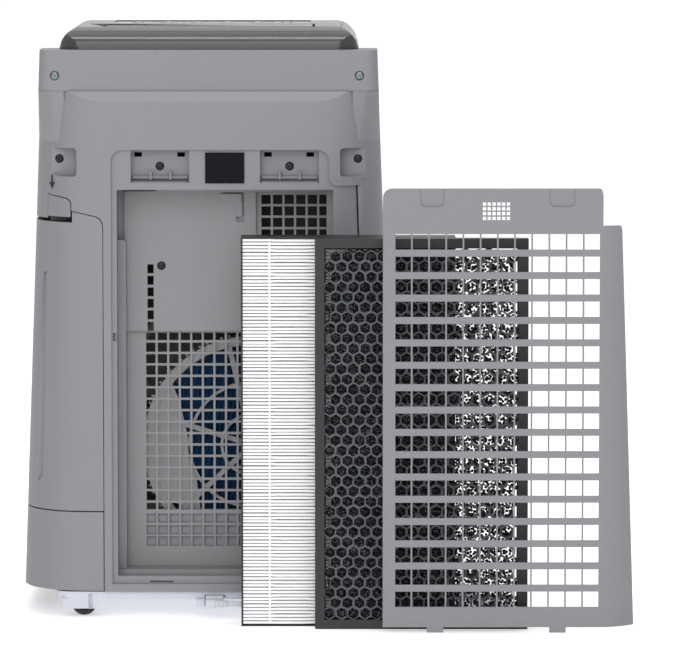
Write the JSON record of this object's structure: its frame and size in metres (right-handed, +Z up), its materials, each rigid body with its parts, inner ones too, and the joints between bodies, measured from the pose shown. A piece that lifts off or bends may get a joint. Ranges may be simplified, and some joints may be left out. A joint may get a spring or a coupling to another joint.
{
  "type": "air purifier",
  "caption": "Floor-standing humidifying air purifier, opened at the back: side tank, humidifying wheel, fan, and the pleated filter, carbon filter and rear panel standing in front.",
  "frame": {"origin": "on the floor, under the middle of the box round the cabinet and the three pieces standing beside it, cord left out", "axes": "+Z up, -Y towards the viewer of the open back (the purifier's own front faces +Y), +X towards the loose rear panel"},
  "size_m": [0.6782, 0.4, 0.6585],
  "materials": {
    "cabinet_grey": "fine satin grain",
    "lid_grey": "smooth, glossy",
    "base_white": "satin",
    "grille_grey": "satin",
    "inner_white": "satin",
    "black_plastic": "satin",
    "foam_black": "open cell foam",
    "control_gloss": "high gloss",
    "caster_rubber": "satin",
    "screw_zinc": "zinc plated",
    "screw_black": "black oxide",
    "motor_steel": "brushed",
    "media_blue": "pleated wet media",
    "filter_paper": "pleated fibre",
    "carbon_black": "granular",
    "cap_blue": "satin",
    "board_green": "lacquered",
    "cord_grey": "satin vinyl"
  },
  "bodies": {
    "cabinet": {"base_frame": "base_white", "front_cabinet": "cabinet_grey", "rear_cabinet": "cabinet_grey", "upper_cabinet": "cabinet_grey", "front_panel": "lid_grey", "top_cover": "lid_grey", "control_panel": "control_gloss", "display_window": "control_gloss", "control_board": "board_green", "filter_bay": "grille_grey", "bay_grille": "grille_grey", "sensor_box": "black_plastic", "sensor_filter": "foam_black", "ion_unit": "black_plastic", "fan_housing": "black_plastic", "fan_motor": "motor_steel", "gear_motor": "black_plastic", "screw_upper_left": "screw_zinc", "screw_upper_right": "screw_zinc", "screw_side_left": "screw_black", "screw_side_right": "screw_black", "screw_pocket_left": "screw_black", "screw_pocket_right": "screw_black", "screw_bay": "screw_black", "cord_gland": "cord_grey", "power_cord": "cord_grey", "cord_coil": "cord_grey", "cord_tie": "black_plastic", "cord_tail": "cord_grey", "plug_body": "cord_grey", "plug_blade_rear": "motor_steel", "plug_blade_front": "motor_steel"},
    "caster_rear_left": {"caster_wheel_rear_left": "caster_rubber"},
    "caster_rear_right": {"caster_wheel_rear_right": "caster_rubber"},
    "caster_front_left": {"caster_wheel_front_left": "caster_rubber"},
    "caster_front_right": {"caster_wheel_front_right": "caster_rubber"},
    "flap": {"outlet_flap": "lid_grey"},
    "button_power": {"button_power": "control_gloss"},
    "button_mode": {"button_mode": "control_gloss"},
    "button_fan_speed": {"button_fan_speed": "control_gloss"},
    "button_timer": {"button_timer": "control_gloss"},
    "button_brightness": {"button_brightness": "control_gloss"},
    "button_humidify": {"button_humidify": "control_gloss"},
    "fan": {"fan_rotor": "grille_grey", "fan_shaft": "motor_steel"},
    "humidifier_wheel": {"humidifier_frame": "grille_grey", "humidifier_media": "media_blue"},
    "pinion": {"drive_pinion": "inner_white"},
    "roller_left": {"wheel_roller_left": "inner_white"},
    "roller_right": {"wheel_roller_right": "inner_white"},
    "tray": {"water_tray": "cabinet_grey"},
    "float": {"tray_float": "inner_white"},
    "tank": {"water_tank": "cabinet_grey"},
    "cap": {"tank_cap": "cap_blue"},
    "latch": {"tank_latch": "cabinet_grey"},
    "hepa_filter": {"hepa_frame": "black_plastic", "hepa_pleats": "filter_paper"},
    "carbon_filter": {"carbon_frame": "black_plastic", "carbon_core": "carbon_black"},
    "panel": {"rear_panel": "cabinet_grey"}
  },
  "joints": [
    {"name": "caster_rear_left_spin", "type": "hinge", "parent": "cabinet", "child": "caster_rear_left", "pos_m": [-0.27069, -0.068, 0.0145], "axis": [0, 1, 0], "continuous": true},
    {"name": "caster_rear_right_spin", "type": "hinge", "parent": "cabinet", "child": "caster_rear_right", "pos_m": [0.01131, -0.068, 0.0145], "axis": [0, 1, 0], "continuous": true},
    {"name": "caster_front_left_spin", "type": "hinge", "parent": "cabinet", "child": "caster_front_left", "pos_m": [-0.27069, 0.145, 0.0145], "axis": [0, 1, 0], "continuous": true},
    {"name": "caster_front_right_spin", "type": "hinge", "parent": "cabinet", "child": "caster_front_right", "pos_m": [0.01131, 0.145, 0.0145], "axis": [0, 1, 0], "continuous": true},
    {"name": "flap_hinge", "type": "hinge", "parent": "cabinet", "child": "flap", "pos_m": [-0.12969, -0.037, 0.6545], "axis": [1, 0, 0], "range_deg": [0, 75]},
    {"name": "button_power_press", "type": "slide", "parent": "cabinet", "child": "button_power", "axis": [0, 0, -1], "range_m": [0, 0.0012], "stiffness_N_per_m": 900},
    {"name": "button_mode_press", "type": "slide", "parent": "cabinet", "child": "button_mode", "axis": [0, 0, -1], "range_m": [0, 0.0012], "stiffness_N_per_m": 900},
    {"name": "button_fan_speed_press", "type": "slide", "parent": "cabinet", "child": "button_fan_speed", "axis": [0, 0, -1], "range_m": [0, 0.0012], "stiffness_N_per_m": 900},
    {"name": "button_timer_press", "type": "slide", "parent": "cabinet", "child": "button_timer", "axis": [0, 0, -1], "range_m": [0, 0.0012], "stiffness_N_per_m": 900},
    {"name": "button_brightness_press", "type": "slide", "parent": "cabinet", "child": "button_brightness", "axis": [0, 0, -1], "range_m": [0, 0.0012], "stiffness_N_per_m": 900},
    {"name": "button_humidify_press", "type": "slide", "parent": "cabinet", "child": "button_humidify", "axis": [0, 0, -1], "range_m": [0, 0.0012], "stiffness_N_per_m": 900},
    {"name": "fan_spin", "type": "hinge", "parent": "cabinet", "child": "fan", "pos_m": [-0.12469, 0.07, 0.275], "axis": [0, 1, 0], "continuous": true},
    {"name": "tray_slide", "type": "slide", "parent": "cabinet", "child": "tray", "axis": [-1, 0, 0], "range_m": [0, 0.38]},
    {"name": "humidifier_spin", "type": "hinge", "parent": "tray", "child": "humidifier_wheel", "pos_m": [-0.08269, -0.012, 0.187], "axis": [0, 1, 0], "continuous": true},
    {"name": "pinion_spin", "type": "hinge", "parent": "cabinet", "child": "pinion", "pos_m": [0.01524, -0.012, 0.28493], "axis": [0, 1, 0], "continuous": true},
    {"name": "roller_left_spin", "type": "hinge", "parent": "tray", "child": "roller_left", "pos_m": [-0.15974, -0.012, 0.07676], "axis": [0, 1, 0], "continuous": true},
    {"name": "roller_right_spin", "type": "hinge", "parent": "tray", "child": "roller_right", "pos_m": [-0.00564, -0.012, 0.07676], "axis": [0, 1, 0], "continuous": true},
    {"name": "float_hinge", "type": "hinge", "parent": "tray", "child": "float", "pos_m": [-0.21769, -0.012, 0.066], "axis": [0, 1, 0], "range_deg": [0, 12]},
    {"name": "tank_slide", "type": "slide", "parent": "tray", "child": "tank", "axis": [-1, 0, 0], "range_m": [0, 0.16]},
    {"name": "cap_turn", "type": "hinge", "parent": "tank", "child": "cap", "pos_m": [-0.28769, -0.042, 0.13], "axis": [0, 0, 1], "range_deg": [0, 270]},
    {"name": "latch_press", "type": "slide", "parent": "tank", "child": "latch", "axis": [0, 0, -1], "range_m": [0, 0.004], "stiffness_N_per_m": 1200},
    {"name": "hepa_shift", "type": "slide", "parent": "cabinet", "child": "hepa_filter", "axis": [-0.9437, 0, 0.3307], "range_m": [0, 0.14485]},
    {"name": "carbon_shift", "type": "slide", "parent": "cabinet", "child": "carbon_filter", "axis": [-0.9765, 0, 0.2154], "range_m": [0, 0.22242]},
    {"name": "panel_shift", "type": "slide", "parent": "cabinet", "child": "panel", "axis": [-0.9935, 0, 0.1138], "range_m": [0, 0.30216]}
  ],
  "couplings": [
    {"joint": "pinion_spin", "follows": "humidifier_spin", "ratio": -10.5},
    {"joint": "roller_left_spin", "follows": "humidifier_spin", "ratio": -15.75},
    {"joint": "roller_right_spin", "follows": "humidifier_spin", "ratio": -15.75}
  ]
}
